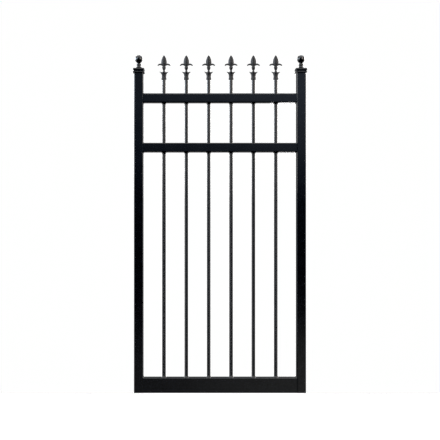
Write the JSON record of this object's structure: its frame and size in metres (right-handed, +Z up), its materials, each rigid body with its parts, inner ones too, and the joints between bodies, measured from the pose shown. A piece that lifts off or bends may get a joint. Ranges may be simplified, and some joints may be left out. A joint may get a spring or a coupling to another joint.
{
  "type": "garden gate",
  "caption": "Tall single-leaf steel garden gate with upright round bars, spearhead finials, ball-topped stile caps, lift-off hinges and a slide bolt.",
  "frame": {"origin": "middle of the lower hinge plate's back face, where it lies on the gate post", "axes": "+Z up; +X from the hinge stile to the closing stile; the gate's front faces -Y and +Y points into the post"},
  "size_m": [0.927, 0.091, 1.8015],
  "materials": {
    "tube_paint": "black satin powder coat with a fine orange-peel texture over square tube",
    "bar_paint": "black satin powder coat over round bar",
    "casting_paint": "black satin powder coat over sand-cast spearheads, slightly grainy",
    "cap_paint": "black semi-gloss powder coat over cast caps and turned balls",
    "weld_paint": "black satin powder coat over weld beads",
    "hardware_paint": "black satin powder coat over pressed and forged hinge parts",
    "zinc_steel": "bright zinc plate, slightly dulled",
    "washer_brass": "plain brass, rubbed"
  },
  "bodies": {
    "post_side": {"hinge_pin_lower": "zinc_steel", "hinge_pin_upper": "zinc_steel", "hinge_plate_lower": "hardware_paint", "hinge_plate_upper": "hardware_paint", "thrust_washer_lower": "washer_brass", "thrust_washer_upper": "washer_brass"},
    "leaf": {"bar_1": "bar_paint", "bar_2": "bar_paint", "bar_3": "bar_paint", "bar_4": "bar_paint", "bar_5": "bar_paint", "bar_6": "bar_paint", "bolt_guide_inner": "hardware_paint", "bolt_guide_middle": "hardware_paint", "bolt_guide_outer": "hardware_paint", "bolt_plate": "hardware_paint", "bolt_screws": "zinc_steel", "bottom_rail": "tube_paint", "bottom_rail_welds": "weld_paint", "cap_ball_left": "cap_paint", "cap_ball_right": "cap_paint", "cap_studs": "zinc_steel", "finial_1": "casting_paint", "finial_2": "casting_paint", "finial_3": "casting_paint", "finial_4": "casting_paint", "finial_5": "casting_paint", "finial_6": "casting_paint", "finial_set_screws": "zinc_steel", "foot_plug_left": "tube_paint", "foot_plug_right": "tube_paint", "frame_welds": "weld_paint", "hinge_knuckle_lower": "hardware_paint", "hinge_knuckle_upper": "hardware_paint", "left_stile": "tube_paint", "mid_rail": "tube_paint", "mid_rail_welds": "weld_paint", "post_cap_left": "cap_paint", "post_cap_right": "cap_paint", "right_stile": "tube_paint", "top_rail": "tube_paint", "top_rail_welds": "weld_paint"},
    "bolt": {"slide_bolt": "zinc_steel", "bolt_knob": "zinc_steel"}
  },
  "joints": [
    {"name": "leaf_swing", "type": "hinge", "parent": "post_side", "child": "leaf", "pos_m": [-0.0095, -0.026, 0], "axis": [0, 0, -1], "range_deg": [0, 95]},
    {"name": "bolt_slide", "type": "slide", "parent": "leaf", "child": "bolt", "axis": [1, 0, 0], "range_m": [0, 0.035]}
  ]
}
